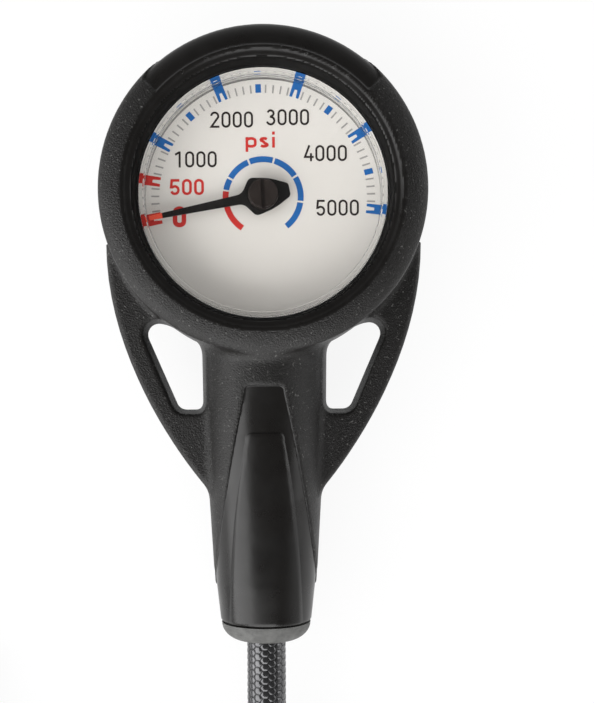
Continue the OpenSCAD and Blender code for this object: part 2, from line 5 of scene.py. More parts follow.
import bpy
import numpy as np
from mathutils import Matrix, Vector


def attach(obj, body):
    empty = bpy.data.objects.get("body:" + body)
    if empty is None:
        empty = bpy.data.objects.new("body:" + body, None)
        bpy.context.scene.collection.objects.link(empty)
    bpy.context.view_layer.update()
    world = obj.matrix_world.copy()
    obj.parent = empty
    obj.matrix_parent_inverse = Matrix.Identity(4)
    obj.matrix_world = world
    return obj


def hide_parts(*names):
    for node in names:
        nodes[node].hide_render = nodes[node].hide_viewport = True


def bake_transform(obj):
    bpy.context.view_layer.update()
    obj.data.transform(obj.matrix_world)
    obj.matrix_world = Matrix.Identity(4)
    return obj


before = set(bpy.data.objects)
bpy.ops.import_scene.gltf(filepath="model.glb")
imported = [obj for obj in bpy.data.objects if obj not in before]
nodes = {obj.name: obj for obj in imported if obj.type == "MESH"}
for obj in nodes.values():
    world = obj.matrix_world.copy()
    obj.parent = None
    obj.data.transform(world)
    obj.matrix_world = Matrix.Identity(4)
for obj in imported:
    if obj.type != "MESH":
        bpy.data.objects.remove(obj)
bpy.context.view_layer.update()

MM = 0.001
AXIS_Z = 15.0  # height of the hose's axis through the gauge's neck
DIAL_Z = 20.2  # the dial's face


# ---------- camera, light and floor ----------

def make_camera():
    """The photograph's viewpoint: straight above a foot point on the object."""
    foot_x, foot_y, distance, plane_z = 0.4, -43.76, 241.0, 27.0
    mm_per_px, width_px, height_px = 0.21, 594, 703
    foot_px_x, foot_px_y = 266.5, 400
    data = bpy.data.cameras.new("camera")
    data.sensor_width = 36
    data.lens = 36 * (distance / mm_per_px) / height_px
    data.shift_x = (width_px / 2 - foot_px_x) / height_px
    data.shift_y = (foot_px_y - height_px / 2) / height_px
    data.clip_start, data.clip_end = 0.01, 20
    camera = bpy.data.objects.new("camera", data)
    camera.location = (foot_x * MM, foot_y * MM, (plane_z + distance) * MM)
    camera.rotation_euler = (0, 0, math.radians(-0.42))
    bpy.context.scene.collection.objects.link(camera)
    bpy.context.scene.camera = camera


LAMP_AIM = (0, -0.03, 0.01)


def make_lamp(name, place, size, watts):
    """A rectangular lamp that faces LAMP_AIM, placed and sized in metres."""
    data = bpy.data.lights.new(name, "AREA")
    data.shape, data.size, data.size_y = "RECTANGLE", size[0], size[1]
    data.energy = watts
    lamp = bpy.data.objects.new(name, data)
    lamp.location = place
    direction = np.subtract(LAMP_AIM, place)
    lamp.rotation_euler = Vector(direction).to_track_quat("-Z", "Y").to_euler()
    bpy.context.scene.collection.objects.link(lamp)


def tree_of(owner):
    """The emptied node tree of a material or world."""
    owner.use_nodes = True
    tree = owner.node_tree
    tree.nodes.clear()
    return tree


def new_node(tree, kind, **settings):
    made = tree.nodes.new(kind)
    for key, value in settings.items():
        setattr(made, key, value)
    return made


def ray_share(tree, *kinds):
    """1 for rays of any of these kinds."""
    path = new_node(tree, "ShaderNodeLightPath")
    share = path.outputs[kinds[0]]
    for kind in kinds[1:]:
        either = new_node(tree, "ShaderNodeMath", operation="MAXIMUM")
        tree.links.new(share, either.inputs[0])
        tree.links.new(path.outputs[kind], either.inputs[1])
        share = either.outputs[0]
    return share


def map_range(tree, value, low, high, from_low, from_high, **settings):
    """Maps a value to the range from low to high, and holds it at both ends."""
    node = new_node(tree, "ShaderNodeMapRange", **settings)
    tree.links.new(value, node.inputs["Value"])
    for key, number in (("From Min", from_low), ("From Max", from_high),
                        ("To Min", low), ("To Max", high)):
        node.inputs[key].default_value = number
    return node.outputs[0]


SKY_LOW, SKY_HIGH = 0.15, 0.7  # heights on the unit sphere, between which the sky changes
LIGHT_SKY = 0.5, 0.70  # its strength low down and overhead, as it lights the object
MIRRORED_SKY = 0.6, 0.04  # as shiny and clear surfaces show it: dim where the camera hangs
SEEN_SKY = 1.0, 1.0  # as the camera sees it


def sky(tree, low, overhead):
    """Even light up to SKY_LOW, which turns to its overhead level by SKY_HIGH."""
    parts = new_node(tree, "ShaderNodeSeparateXYZ")
    tree.links.new(new_node(tree, "ShaderNodeTexCoord").outputs["Generated"], parts.inputs[0])
    level = map_range(tree, parts.outputs[2], low, overhead, SKY_LOW, SKY_HIGH,
                      interpolation_type="SMOOTHSTEP")
    light = new_node(tree, "ShaderNodeBackground")
    light.inputs["Color"].default_value = (1, 1, 1, 1)
    tree.links.new(level, light.inputs["Strength"])
    return light.outputs[0]


def make_world():
    """A white surround, with one sky for each kind of ray."""
    world = bpy.data.worlds.new("studio")
    bpy.context.scene.world = world
    tree = tree_of(world)
    glossy = new_node(tree, "ShaderNodeMixShader")
    tree.links.new(ray_share(tree, "Is Glossy Ray", "Is Transmission Ray"), glossy.inputs[0])
    tree.links.new(sky(tree, *LIGHT_SKY), glossy.inputs[1])
    tree.links.new(sky(tree, *MIRRORED_SKY), glossy.inputs[2])
    seen = new_node(tree, "ShaderNodeMixShader")
    tree.links.new(ray_share(tree, "Is Camera Ray"), seen.inputs[0])
    tree.links.new(glossy.outputs[0], seen.inputs[1])
    tree.links.new(sky(tree, *SEEN_SKY), seen.inputs[2])
    out = new_node(tree, "ShaderNodeOutputWorld")
    tree.links.new(seen.outputs[0], out.inputs["Surface"])


FLOOR_HALF = 1.5  # metres
FLOOR_WHITE = 0.88  # its colour, and the share of plain white that covers it where it is seen


def make_floor():
    half = FLOOR_HALF
    mesh = bpy.data.meshes.new("floor")
    corners = [(-half, -half, 0), (half, -half, 0), (half, half, 0), (-half, half, 0)]
    mesh.from_pydata(corners, [], [(0, 1, 2, 3)])
    floor = bpy.data.objects.new("floor", mesh)
    bpy.context.scene.collection.objects.link(floor)
    material = bpy.data.materials.new("floor_white")
    tree = tree_of(material)
    matte = new_node(tree, "ShaderNodeBsdfDiffuse")
    matte.inputs["Color"].default_value = (FLOOR_WHITE, FLOOR_WHITE, FLOOR_WHITE, 1)
    white = new_node(tree, "ShaderNodeEmission")
    share = new_node(tree, "ShaderNodeMath", operation="MULTIPLY")
    share.inputs[1].default_value = FLOOR_WHITE
    mix = new_node(tree, "ShaderNodeMixShader")
    out = new_node(tree, "ShaderNodeOutputMaterial")
    background = ray_share(tree, "Is Camera Ray", "Is Glossy Ray", "Is Transmission Ray")
    tree.links.new(background, share.inputs[0])
    tree.links.new(share.outputs[0], mix.inputs[0])
    tree.links.new(matte.outputs[0], mix.inputs[1])
    tree.links.new(white.outputs[0], mix.inputs[2])
    tree.links.new(mix.outputs[0], out.inputs["Surface"])
    mesh.materials.append(material)


bpy.context.scene.view_settings.view_transform = "Standard"
make_camera()
make_world()
make_floor()
make_lamp("key_left", (-0.84, -0.28, 0.48), (0.9, 0.9), 8.2)
make_lamp("key_front", (-0.12, -0.86, 0.52), (1.0, 0.95), 9.0)
make_lamp("rim_right", (0.85, 0.1, 0.30), (0.6, 0.4), 1.4)


# ---------- materials ----------

class Recipe:
    """A Principled material whose colour, roughness and bump come from a few noises."""

    def __init__(self, name, color, roughness, metallic=0.0, specular=0.5, **sockets):
        self.material = bpy.data.materials.new(name)
        self.tree = tree_of(self.material)
        self.shader = new_node(self.tree, "ShaderNodeBsdfPrincipled")
        self.output = new_node(self.tree, "ShaderNodeOutputMaterial")
        self.tree.links.new(self.shader.outputs[0], self.output.inputs["Surface"])
        self.place = new_node(self.tree, "ShaderNodeTexCoord").outputs["Object"]
        constant = new_node(self.tree, "ShaderNodeRGB")
        constant.outputs[0].default_value = (*color, 1)
        self.color = constant.outputs[0]
        self.roughness = None
        self.base_roughness = roughness
        self.height = None
        self.shader.inputs["Roughness"].default_value = roughness
        self.shader.inputs["Metallic"].default_value = metallic
        self.shader.inputs["Specular IOR Level"].default_value = specular
        for key, value in sockets.items():
            self.shader.inputs[key.replace("_", " ")].default_value = value

    def math(self, operation, first, second=None):
        node = new_node(self.tree, "ShaderNodeMath", operation=operation)
        for socket, value in zip(node.inputs, (first, second)):
            if value is None:
                continue
            if isinstance(value, (int, float)):
                socket.default_value = value
            else:
                self.tree.links.new(value, socket)
        return node.outputs[0]

    def noise(self, size_mm, detail=3.0, stretch=(1, 1, 1)):
        """Noise from 0 to 1 whose blobs are about size_mm across."""
        mapping = new_node(self.tree, "ShaderNodeMapping")
        mapping.inputs["Scale"].default_value = stretch
        node = new_node(self.tree, "ShaderNodeTexNoise")
        node.inputs["Scale"].default_value = 1000 / size_mm / 2
        node.inputs["Detail"].default_value = detail
        self.tree.links.new(self.place, mapping.inputs["Vector"])
        self.tree.links.new(mapping.outputs[0], node.inputs["Vector"])
        return node.outputs["Fac"]

    def attribute(self, name):
        return new_node(self.tree, "ShaderNodeAttribute", attribute_name=name).outputs["Fac"]

    def ramp(self, value, low, high, from_low=0.0, from_high=1.0):
        return map_range(self.tree, value, low, high, from_low, from_high)

    def blend_color(self, share, color):
        """Mixes a further colour in, by a share from 0 to 1."""
        node = new_node(self.tree, "ShaderNodeMix", data_type="RGBA")
        self.tree.links.new(share, node.inputs["Factor"])
        self.tree.links.new(self.color, node.inputs[6])
        node.inputs[7].default_value = (*color, 1)
        self.color = node.outputs[2]
        return self

    def vary(self, size_mm, color, amount=0.5):
        """Lets patches of another colour show through."""
        share = self.ramp(self.noise(size_mm), 0, amount, 0.35, 0.7)
        return self.blend_color(share, color)

    def rough(self, size_mm, spread):
        low, high = self.base_roughness - spread, self.base_roughness + spread
        self.roughness = self.ramp(self.noise(size_mm), low, high, 0.3, 0.7)
        return self

    def bump(self, height, depth_mm):
        node = new_node(self.tree, "ShaderNodeBump")
        node.inputs["Distance"].default_value = depth_mm * MM
        self.tree.links.new(height, node.inputs["Height"])
        if self.height is not None:
            self.tree.links.new(self.height, node.inputs["Normal"])
        self.height = node.outputs[0]
        return self

    def done(self):
        self.tree.links.new(self.color, self.shader.inputs["Base Color"])
        if self.roughness is not None:
            self.tree.links.new(self.roughness, self.shader.inputs["Roughness"])
        if self.height is not None:
            self.tree.links.new(self.height, self.shader.inputs["Normal"])
        return self.material


SEAMS = (  # each seam's map, the width of its dark line of painted shade in mm, and its share of SEAM_STEP
    ("tongue", 0.14, 1.0), ("inlay", 0.16, -0.35), ("patch", 0.12, 0.8), ("ridge", 0.14, 0.0))
SEAM_STEP, SEAM_HALF = 0.2, 0.16  # a step's height and half its width
GRAIN_SIZE, GRAIN_DEPTH = 0.17, 0.17
DUST_SIZE = 0.26


def rubber(name, color, worn, dusty, smooth, grained, specular=0.42):
    """Moulded rubber: grained where the grain attribute is 1, with small steps at its seams.

    smooth and grained are the roughness where the grain attribute is 0 and 1.
    """
    made = Recipe(name, color, smooth, specular=specular)
    grain = made.attribute("grain")
    made.vary(9, worn, 0.5).vary(1.1, worn, 0.35)
    line, steps = None, None
    for seam, width, rise in SEAMS:
        distance = made.attribute(seam)
        share = made.ramp(made.math("ABSOLUTE", distance), 1, 0, width * 0.3, width)
        line = share if line is None else made.math("MAXIMUM", line, share)
        high = made.ramp(distance, 0, rise, -SEAM_HALF, SEAM_HALF)
        steps = high if steps is None else made.math("ADD", steps, high)
    # A thin dark line along each seam: painted shade in its groove.
    made.blend_color(made.math("MULTIPLY", line, 0.6), tuple(0.3 * c for c in color))
    specks = made.ramp(made.noise(DUST_SIZE, 1), 0, 0.9, 0.67, 0.77)
    dust = made.math("MULTIPLY", specks, grain)
    made.blend_color(dust, dusty)
    made.bump(made.math("MULTIPLY", made.noise(GRAIN_SIZE, 2), grain), GRAIN_DEPTH)
    made.bump(made.noise(2.6, 2), 0.012)
    made.bump(steps, SEAM_STEP)
    made.roughness = made.math(
        "ADD", made.math("MULTIPLY", grain, grained - smooth),
        made.ramp(made.noise(3.2), smooth - 0.05, smooth + 0.05, 0.3, 0.7))
    return made.done()


def plain(name, color, second, roughness, metallic=0.0, size=4, bump=0.01, stretch=(1, 1, 1),
          **sockets):
    """A material of two close colours, in patches of about size mm, with a fine bump."""
    made = Recipe(name, color, roughness, metallic, **sockets)
    made.vary(size, second, 0.6).rough(size * 0.6, min(0.08, roughness * 0.5))
    return made.bump(made.noise(size * 0.12, 2, stretch), bump).done()


boot_rubber = rubber("boot_rubber", (0.0056, 0.0050, 0.0046), (0.0100, 0.0091, 0.0084),
                     (0.09, 0.088, 0.084), 0.30, 0.47)
# A darker, duller copy of the boot rubber for the dish inside the rim: painted shade on the dish
# wall.
dish_rubber_painted_shade = rubber("dish_rubber_painted_shade", (0.0045, 0.0042, 0.004), (0.007, 0.0066, 0.0062),
                     (0.01, 0.01, 0.01), 0.75, 0.75, 0.08)
collar_rubber = plain("collar_rubber", (0.075, 0.075, 0.072), (0.15, 0.15, 0.144), 0.6,
                      size=0.9, bump=0.14)
black_rubber = plain("black_rubber", (0.012, 0.012, 0.012), (0.02, 0.02, 0.02), 0.5, size=2)
brass = plain("turned_brass", (0.62, 0.43, 0.17), (0.50, 0.33, 0.13), 0.30, 1.0, size=6,
              stretch=(1, 1, 9))
steel = plain("turned_steel", (0.55, 0.56, 0.58), (0.44, 0.45, 0.47), 0.26, 1.0, size=3,
              stretch=(1, 1, 8))
chrome = plain("chrome_plate", (0.74, 0.75, 0.77), (0.68, 0.69, 0.72), 0.12, 1.0, size=5,
               bump=0.004)
plug_plastic = plain("plug_plastic", (0.03, 0.03, 0.03), (0.045, 0.045, 0.045), 0.45, size=2)


# ---------- mesh helpers ----------

def add_mesh(name, points, faces, material, body=None, smooth=True):
    """A new piece from points in millimetres and a list of faces."""
    mesh = bpy.data.meshes.new(name)
    mesh.from_pydata((np.asarray(points, np.float32) * MM).tolist(), [], faces)
    mesh.validate()
    if smooth:
        mesh.shade_smooth()
    mesh.materials.append(material)
    piece = bpy.data.objects.new(name, mesh)
    bpy.context.scene.collection.objects.link(piece)
    if body:
        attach(piece, body)
    return piece


def set_attribute(piece, name, values):
    layer = piece.data.attributes.new(name, "FLOAT", "POINT")
    layer.data.foreach_set("value", np.asarray(values, np.float32))


def unit(degrees):
    return np.array([math.cos(math.radians(degrees)), math.sin(math.radians(degrees))])


def arc(centre, radius, start, end, count=8):
    """Points on an arc. radius is a number, or one for each axis."""
    return [np.asarray(centre, float) + np.asarray(radius) * unit(a)
            for a in np.linspace(start, end, count)]


def bezier(a, b, c, d, count=20):
    t = np.linspace(0, 1, count)[:, None]
    a, b, c, d = (np.asarray(p, float) for p in (a, b, c, d))
    return ((1 - t) ** 3 * a + 3 * t * (1 - t) ** 2 * b + 3 * t * t * (1 - t) * c + t ** 3 * d)


def rounded(corners, radii, count=7):
    """A closed outline with each corner rounded to its own radius."""
    corners = [np.asarray(c, float) for c in corners]
    out = []
    for i, q in enumerate(corners):
        before, after = corners[i - 1], corners[(i + 1) % len(corners)]
        u = (before - q) / np.linalg.norm(before - q)
        v = (after - q) / np.linalg.norm(after - q)
        half = math.acos(np.clip(u @ v, -1, 1)) / 2
        reach = radii[i] / math.tan(half)
        centre = q + (u + v) / np.linalg.norm(u + v) * radii[i] / math.sin(half)
        first, last = q + u * reach - centre, q + v * reach - centre
        start = math.degrees(math.atan2(first[1], first[0]))
        turn = math.degrees(math.atan2(first[0] * last[1] - first[1] * last[0], first @ last))
        out += arc(centre, radii[i], start, start + turn, count)
    return np.array(out)


def tube_quads(rings, sides, start=0):
    """Faces of an open tube between rings of points."""
    i, k = np.meshgrid(np.arange(rings - 1), np.arange(sides), indexing="ij")
    a = start + i * sides + k
    b = start + i * sides + (k + 1) % sides
    return np.stack([a, b, b + sides, a + sides], -1).reshape(-1, 4)


def closed_tube(rings, sides):
    """Faces of a tube and of its two ends."""
    last = (rings - 1) * sides
    return [*map(tuple, tube_quads(rings, sides).tolist()), tuple(range(sides))[::-1],
            tuple(range(last, last + sides))]


def lathe(name, profile, material, body, sides=256):
    """A solid turned about the dial's axis, from the points (radius, height) of its profile."""
    a = 2 * np.pi * np.arange(sides) / sides
    points, faces = [(0, 0, profile[0][1])], []
    for r, z in profile[1:-1]:
        points += [(r * c, r * s, z) for c, s in zip(np.cos(a), np.sin(a))]
    points.append((0, 0, profile[-1][1]))
    rings = len(profile) - 2
    for k in range(sides):
        after = (k + 1) % sides
        faces.append((0, 1 + after, 1 + k))
        faces += [(1 + i * sides + k, 1 + i * sides + after, 1 + (i + 1) * sides + after,
                   1 + (i + 1) * sides + k) for i in range(rings - 1)]
        last = 1 + (rings - 1) * sides
        faces.append((last + k, last + after, len(points) - 1))
    piece = add_mesh(name, points, faces, material, body)
    piece.data.set_sharp_from_angle(angle=math.radians(28))
    return piece


# ---------- boot: one smooth moulding, meshed from its distance field ----------

def outline_distance(outline, u, v):
    """Signed distance to a closed outline, negative inside."""
    best = np.full(u.shape, 1e9)
    inside = np.zeros(u.shape, bool)
    for (ax, ay), (bx, by) in zip(outline, np.roll(outline, -1, 0)):
        dx, dy = bx - ax, by - ay
        along = np.clip(((u - ax) * dx + (v - ay) * dy) / (dx * dx + dy * dy + 1e-12), 0, 1)
        best = np.minimum(best, (u - ax - along * dx) ** 2 + (v - ay - along * dy) ** 2)
        if dy:
            inside ^= ((ay > v) != (by > v)) & (u < ax + (v - ay) * dx / dy)
    return np.where(inside, -1, 1) * np.sqrt(best)


class Outline:
    """Signed distance to an outline, looked up from a grid of it."""
    step = 0.1
    margin = 4.0

    def __init__(self, *parts):
        outline = np.vstack(parts)
        self.low = outline.min(0) - self.margin
        self.shape = (np.ptp(outline, 0) + 2 * self.margin) // self.step + 2
        axes = [lo + self.step * np.arange(n) for lo, n in zip(self.low, self.shape)]
        self.grid = outline_distance(outline, *np.meshgrid(*axes, indexing="ij"))

    def __call__(self, u, v):
        spots = [(u - self.low[0]) / self.step, (v - self.low[1]) / self.step]
        held = [np.clip(s, 0, n - 1.001) for s, n in zip(spots, self.shape)]
        beyond = np.hypot(spots[0] - held[0], spots[1] - held[1]) * self.step
        i, j = (h.astype(np.int32) for h in held)
        f, g = held[0] - i, held[1] - j
        t = self.grid
        low = t[i, j] * (1 - g) + t[i, j + 1] * g
        high = t[i + 1, j] * (1 - g) + t[i + 1, j + 1] * g
        return low * (1 - f) + high * f + beyond


def join(a, b, k):
    """Smooth union of two distances, with a fillet of about k."""
    h = np.maximum(k - np.abs(a - b), 0) / k
    return np.minimum(a, b) - h * h * k / 4


def cut(a, b, k):
    """Smoothly takes b out of a."""
    return -join(-a, b, k)


def step(value, start, end):
    """0 before start, 1 after end, and smooth between them."""
    t = np.clip((value - start) / (end - start), 0, 1)
    return t * t * (3 - 2 * t)


RIM_H, RIM_UP = 31.6, 0.5  # the rim's height, and how far its centre lies above the dial's
RIDGE_R, RIDGE_Z = 29.3, 31.5  # the sharp ridge where the rim's face drops into its dish
# Within DISH_R and above DISH_Z the boot takes the darker copy of its rubber, which is painted
# shade.
DISH_R, DISH_Z = 27.5, 20  # the dish's wall lies within this radius, above this height
PATCH = 0.3  # how deep the smooth patch over the top lies
PATCH_TURN, PATCH_WIDER = 37.2, 10.3  # half its width down the side, and what the face adds
INLAY_UP = 0.12
CASE_R, CASE_Z, CASE_HALF = 29.05, 14.55, 11.55  # the pocket that holds the gauge's case
VENT_R, VENT_Y, VENT_TOP = 7, 13, 3.5  # the hole under the blow-out plug
TONGUE_FILLET, INLAY_FILLET, NECK_FILLET, LOOP_FILLET = 0.8, 0.6, 2.6, 1.6
HOLE_FILLET, DISH_FILLET = 0.7, 0.2
rim_solid = Outline(
    [(0, 0), (30.9, 0)], arc((30.9, 3.6), 3.6, -80, 0),
    bezier((34.5, 28.6), (34.5, 29.9), (32.2, 31.1), (28.4, RIM_H)), [(0, RIM_H)])
rim_dish = Outline(
    [(0, 24), (26.55, 24), (26.55, 27.2), (26.75, 27.45), (27.15, 30.45), (27.5, 30.8),
     (28.4, 31.0), (RIDGE_R, RIDGE_Z), (RIDGE_R + 0.02, 36), (0, 36)])
neck_skin = Outline([(0, 29), (13.65, 29), (13.4, 33), (13.1, 44), (12.3, 65), (11.2, 83.6),
                     (11.05, 84.3), (0, 84.3)])
neck_core = Outline([(0, 29), (13.4, 29), (13.15, 33), (12.85, 44), (12.05, 65),
                     (10.85, 83.6), (9.95, 91.6), (9.6, 92), (0, 92)])
neck_bore = Outline([(0, 28), (9.7, 28), (9.7, 51), (7.3, 53.5), (7.3, 76), (4.75, 78.5),
                     (4.75, 86), (7.05, 86), (7.05, 95), (0, 95)])
tongue = Outline([(-5, -40.7), (2.9, -40.7)], arc((3.0, -41.9), 1.2, 90, 8, 5),
                 bezier((4.2, -42.2), (6.6, -53), (9, -66), (11.4, -85)), [(15, -99), (-5, -99)])
inlay = Outline([(-5, -50.7), (2.9, -50.7)], arc((2.85, -51.9), 1.2, 90, 8, 5),
                bezier((4.05, -52.6), (5.6, -61), (7.65, -74), (7.95, -99)), [(-5, -99)])
loop_outer = Outline([(0, -9.5)], bezier((34.4, -9.5), (34.45, -34.5), (18.35, -56.55),
                                         (11.5, -64.2)), [(0, -64.2)])
loop_hole = Outline(rounded([(13.2, -26.8), (26.8, -26.8), (18.6, -45.7), (13.2, -45.7)],
                            [0.5, 2.4, 2.2, 1.8]))
LOOP_HALF, LOOP_EDGE = 4.5, 1.1  # half the loops' thickness, and the radius of their edges
LOOP_SLOPE = 0.06  # how fast the loops' faces fall away outwards
HOLE_SLOPE = 0.27  # how fast a loop's hole widens away from its middle plane


def boot_shape(points):
    """Distance to the boot's surface, and the maps of grain and seams there, in mm."""
    x, y, z = points[:, 0], points[:, 1], points[:, 2]
    side = np.abs(x)
    r, outer_r = np.hypot(x, y), np.hypot(x, y - RIM_UP)
    rho, along = np.hypot(x, z - AXIS_Z), -y

    behind = AXIS_Z - z
    tongue_in = np.maximum(tongue(side, y), behind)
    inlay_in = np.maximum(inlay(side, y), behind)
    core = neck_core(rho, along)
    neck = np.minimum(core, cut(neck_skin(rho, along), tongue_in, TONGUE_FILLET))
    neck = np.minimum(neck, cut(core - INLAY_UP, -inlay_in, INLAY_FILLET))

    thinner = LOOP_SLOPE * np.maximum(side - 12, 0)
    off_plane = np.abs(z - AXIS_Z)
    w, h = loop_outer(side, y) + LOOP_EDGE, off_plane - LOOP_HALF + LOOP_EDGE + thinner
    wing = (np.minimum(np.maximum(w, h), 0)
            + np.hypot(np.maximum(w, 0), np.maximum(h, 0)) - LOOP_EDGE)
    wing = cut(wing, loop_hole(side, y) - HOLE_SLOPE * off_plane, HOLE_FILLET)

    body = join(join(rim_solid(outer_r, z), neck, NECK_FILLET), wing, LOOP_FILLET)

    # the smooth patch over the top: wide on the face, and narrower down the side
    turn = np.abs(np.degrees(np.arctan2(x, y)))
    face = step(z, 27.5, 30.6)
    patch_in = (turn - (PATCH_TURN + PATCH_WIDER * face)) * np.radians(1) * r
    patch_in = np.maximum(patch_in, np.maximum(RIDGE_R + 0.45 - r, 12 - z))
    body = body + PATCH * step(-patch_in, -0.3, 0.3)

    body = cut(body, rim_dish(r, z), DISH_FILLET)
    body = np.maximum(body, -np.maximum(r - CASE_R, np.abs(z - CASE_Z) - CASE_HALF))
    body = np.maximum(body, -neck_bore(rho, along))
    body = np.maximum(body, -np.maximum(np.hypot(x, y - VENT_Y) - VENT_R, z - VENT_TOP))
    body = np.maximum(body, -z)

    grain = step(patch_in, -0.1, 0.3) * step(tongue_in, -0.1, 0.3)
    grain = grain * step(-along, -84.6, -84.2) * step(r, RIDGE_R, RIDGE_R + 0.6)
    return body, {"grain": grain, "tongue": tongue_in, "inlay": inlay_in, "patch": patch_in,
                  "ridge": np.hypot(r - RIDGE_R - 0.3, np.minimum(z - 30.5, 0))}


def slope(points, reach=0.04):
    """Gradient of the boot's distance field."""
    out = np.empty_like(points)
    for axis in range(3):
        move = np.zeros(3)
        move[axis] = reach
        out[:, axis] = (boot_shape(points + move)[0] - boot_shape(points - move)[0]) / 2 / reach
    return out


def surface_net(low, high, cell):
    """Quads on the zero surface of the boot's field: a vertex in each cell that it crosses."""
    counts = ((np.asarray(high) - low) / cell).astype(int) + 1
    axes = [lo + cell * np.arange(n) for lo, n in zip(low, counts)]
    field = np.empty(counts, np.float32)
    for k, z in enumerate(axes[2]):
        u, v = np.meshgrid(axes[0], axes[1], indexing="ij")
        layer = np.stack([u.ravel(), v.ravel(), np.full(u.size, z)], 1)
        field[:, :, k] = boot_shape(layer)[0].reshape(u.shape)
    total = field.size
    strides = (counts[1] * counts[2], counts[2], 1)
    sums, hits, quads = np.zeros((total, 3)), np.zeros(total), []
    for axis in range(3):
        first = np.take(field, np.arange(counts[axis] - 1), axis)
        second = np.take(field, np.arange(1, counts[axis]), axis)
        spots = np.argwhere((first < 0) != (second < 0))
        b, c = (axis + 1) % 3, (axis + 2) % 3
        spots = spots[(spots[:, b] > 0) & (spots[:, c] > 0)]
        where = tuple(spots.T)
        a0, a1 = first[where], second[where]
        place = spots.astype(float)
        place[:, axis] += a0 / (a0 - a1)
        index = spots @ np.array(strides)
        around = [index - strides[b] - strides[c], index - strides[c], index,
                  index - strides[b]]
        for cells in around:
            for k in range(3):
                sums[:, k] += np.bincount(cells, place[:, k], total)
            hits += np.bincount(cells, minlength=total)
        loop = np.stack(around, 1)
        quads.append(np.where((a0 < 0)[:, None], loop, loop[:, ::-1]))
    used = np.flatnonzero(hits)
    number = np.full(total, -1)
    number[used] = np.arange(len(used))
    points = np.asarray(low) + cell * sums[used] / hits[used][:, None]
    return points, number[np.vstack(quads)]


BOOT_LOW, BOOT_HIGH = (-35.6, -93.2, -0.9), (35.6, 35.9, 33.0)  # corners of a box round it
BOOT_CELL = 0.45


def make_boot():
    points, quads = surface_net(BOOT_LOW, BOOT_HIGH, BOOT_CELL)
    for _ in range(3):  # moves the vertices onto the surface
        distance, _ = boot_shape(points)
        lean = slope(points)
        length = np.maximum((lean ** 2).sum(1), 0.3)
        shift = (distance / length)[:, None] * lean
        points = points - np.clip(shift, -0.3, 0.3)
    points[:, 2] = np.maximum(points[:, 2], 0)
    # the ridge is sharp, so the vertices beside it move onto it
    r = np.hypot(points[:, 0], points[:, 1])
    beside = (np.abs(r - RIDGE_R) < 0.24) & (points[:, 2] > 31)
    points[beside, :2] *= (RIDGE_R / r[beside])[:, None]
    points[beside, 2] = RIDGE_Z
    piece = add_mesh("boot_moulding", points, quads.tolist(), boot_rubber, "gauge")
    piece.data.materials.append(dish_rubber_painted_shade)
    # faces in the dish take the darker copy of the rubber: painted shade
    middle = points[quads].mean(1)
    in_dish = (np.hypot(middle[:, 0], middle[:, 1]) < DISH_R) & (middle[:, 2] > DISH_Z)
    piece.data.polygons.foreach_set("material_index", in_dish.astype(np.int32))
    for name, values in boot_shape(points)[1].items():
        set_attribute(piece, name, np.clip(values, -2, 2))
    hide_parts("boot")


# ---------- hose ----------

HOSE_D = 8.4
ROUTE = [(0, -96.4, 15), (0, -103.8, 15), (0, -111.4, 14.8), (0.4, -119, 13.9),
         (2, -126.2, 12.3), (4.8, -133.2, 10.3), (8.6, -139.8, 8.3), (13.4, -145.6, 6.5),
         (18.2, -151.2, 5.4), (22.1, -157.6, 4.9), (24.6, -164.8, 4.9), (25.9, -172.1, 4.9)]
HOSE_START = -70.0  # hidden inside the crimped sleeve in the neck
COIL_AT = np.array([-20.5, -179.5])
COIL_R, COIL_TURNS = 47.0, 2.511
COIL_START = 9.0  # direction of the coil's first point, in degrees
COIL_IN = 9.0  # how far each turn moves in towards the coil's middle
LAY_Z, LAYER, CLIMB = 4.9, 8.9, 0.5  # first layer, rise to the next, and turns to climb it
DROP_LENGTH, END_Z = 34.0, 8.0  # where the end comes down to the fitting's height
COIL_END = COIL_START - 360 * COIL_TURNS


def ease(t):
    """0 to 1 along half a cosine."""
    return (1 - np.cos(np.pi * np.clip(t, 0, 1))) / 2


def hose_line():
    """The hose's centreline in mm, at a fine even step."""
    route = np.array([(0, HOSE_START, AXIS_Z), (0, -83, AXIS_Z), *ROUTE], float)
    turns = np.linspace(0, COIL_TURNS, 600)
    radius = COIL_R - COIL_IN * np.minimum(turns, COIL_TURNS - turns)
    angle = np.radians(COIL_START - 360 * turns)
    height = LAY_Z + LAYER * ease((turns - COIL_TURNS / 2) / CLIMB + 0.5)
    coil = np.stack([COIL_AT[0] + radius * np.cos(angle),
                     COIL_AT[1] + radius * np.sin(angle), height], 1)
    heading = np.array([*unit(COIL_END - 90), 0])
    t = np.linspace(0, 1, 40)[1:, None]
    drop = coil[-1] + t * DROP_LENGTH * heading + (END_Z - coil[-1][2]) * ease(t) * [[0, 0, 1]]
    end = drop[-1] + np.linspace(0, HOSE_D, 9)[1:, None] * heading
    # a smooth curve through the route's points, which runs on into the coil
    knots = np.vstack([route, coil[8], coil[16]])
    lead = []
    for i in range(len(route) - 1):
        p0, p1, p2, p3 = knots[max(i - 1, 0)], knots[i], knots[i + 1], knots[i + 2]
        span = [max(np.linalg.norm(b - a), 1e-6) for a, b in ((p0, p1), (p1, p2), (p2, p3))]
        m1 = (p2 - p1) if i == 0 else ((p1 - p0) / span[0] + (p2 - p1) / span[1]) / 2 * span[1]
        m2 = ((p2 - p1) / span[1] + (p3 - p2) / span[2]) / 2 * span[1]
        for t in np.linspace(0, 1, 24, endpoint=False):
            lead.append((2 * t ** 3 - 3 * t ** 2 + 1) * p1 + (t ** 3 - 2 * t ** 2 + t) * m1
                        + (3 * t ** 2 - 2 * t ** 3) * p2 + (t ** 3 - t ** 2) * m2)
    line = np.vstack([lead, coil, drop, end])
    for _ in range(12):  # evens out the curvature where the stretches meet
        line[1:-1] = (line[:-2] + 2 * line[1:-1] + line[2:]) / 4
    return line


